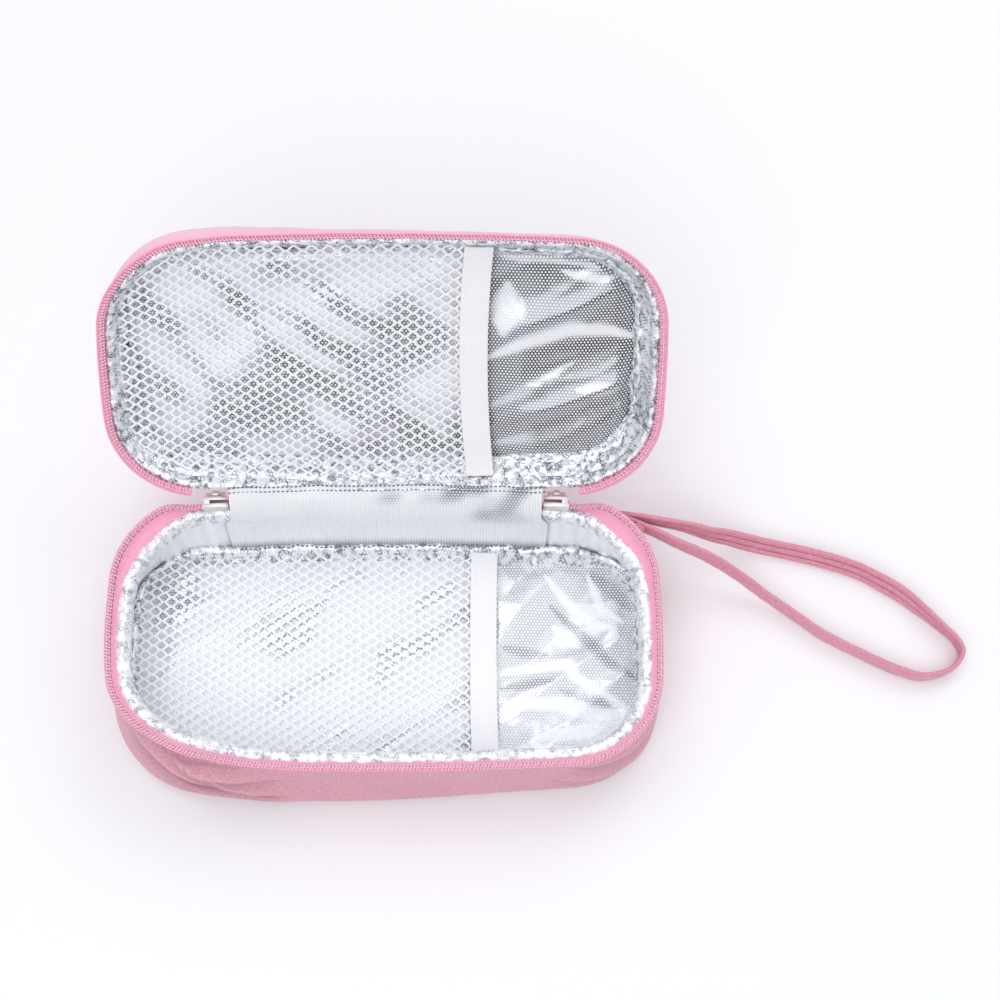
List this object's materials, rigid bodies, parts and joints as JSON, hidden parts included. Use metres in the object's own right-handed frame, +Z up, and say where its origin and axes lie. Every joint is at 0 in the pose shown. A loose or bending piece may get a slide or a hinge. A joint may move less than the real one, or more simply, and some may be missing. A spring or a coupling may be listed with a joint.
{
  "type": "insulin cooling case",
  "caption": "Soft zipped pouch lying open, with insulated foil-lined halves, a white net pocket in each, twin zip sliders and a fabric wrist strap.",
  "frame": {"origin": "middle of the base half's flat underside, on the surface the case lies on", "axes": "+X along the case's long side towards the pocket mouths and the strap, +Y across the base towards the hinge, +Z up"},
  "size_m": [0.3352, 0.1825, 0.1301],
  "materials": {
    "rose_fabric": "dusty rose woven polyester, matt",
    "pink_tape": "bright pink woven zip tape",
    "pink_nylon": "bright pink nylon zip coil",
    "white_foam": "soft closed-cell foam",
    "silver_foil": "aluminised lining cloth, embossed, shiny",
    "white_net": "knitted polyester net",
    "white_binding": "plain white binding tape, matt",
    "nickel": "nickel-plated zip hardware",
    "strap_fabric": "folded and stitched rose fabric"
  },
  "bodies": {
    "base": {"base_bottom_panel": "rose_fabric", "base_side_band": "rose_fabric", "base_floor_foam": "white_foam", "base_wall_foam": "white_foam", "base_floor_liner": "silver_foil", "base_wall_liner": "silver_foil", "base_floor_seam": "silver_foil", "base_rim_hem": "silver_foil", "base_zip_tape": "pink_tape", "base_zip_teeth": "pink_nylon", "base_pocket_net": "white_net", "base_pocket_binding": "white_binding", "hinge_panel": "rose_fabric", "hinge_liner": "silver_foil", "strap_anchor": "strap_fabric", "wrist_strap": "strap_fabric"},
    "lid": {"lid_top_panel": "rose_fabric", "lid_side_band": "rose_fabric", "lid_top_foam": "white_foam", "lid_wall_foam": "white_foam", "lid_top_liner": "silver_foil", "lid_wall_liner": "silver_foil", "lid_top_seam": "silver_foil", "lid_rim_hem": "silver_foil", "lid_zip_tape": "pink_tape", "lid_zip_teeth": "pink_nylon", "lid_pocket_net": "white_net", "lid_pocket_binding": "white_binding"},
    "left_slider": {"left_slider": "nickel"},
    "left_pull": {"left_pull": "nickel"},
    "right_slider": {"right_slider": "nickel"},
    "right_pull": {"right_pull": "nickel"}
  },
  "joints": [
    {"name": "lid_hinge", "type": "hinge", "parent": "base", "child": "lid", "pos_m": [0, 0.0525, 0.0457], "axis": [-1, 0, 0], "range_deg": [-129, 26]},
    {"name": "left_slider_travel", "type": "slide", "parent": "base", "child": "left_slider", "axis": [0.9989, 0.0471, 0], "range_m": [0, 0.008]},
    {"name": "right_slider_travel", "type": "slide", "parent": "base", "child": "right_slider", "axis": [-0.9989, 0.0471, 0], "range_m": [0, 0.008]},
    {"name": "left_pull_swing", "type": "hinge", "parent": "left_slider", "child": "left_pull", "pos_m": [-0.06615, 0.05364, 0.0404], "axis": [0.9989, 0.0471, 0], "range_deg": [0, 30]},
    {"name": "right_pull_swing", "type": "hinge", "parent": "right_slider", "child": "right_pull", "pos_m": [0.06615, 0.05364, 0.0404], "axis": [0.9989, -0.0471, 0], "range_deg": [0, 30]}
  ]
}
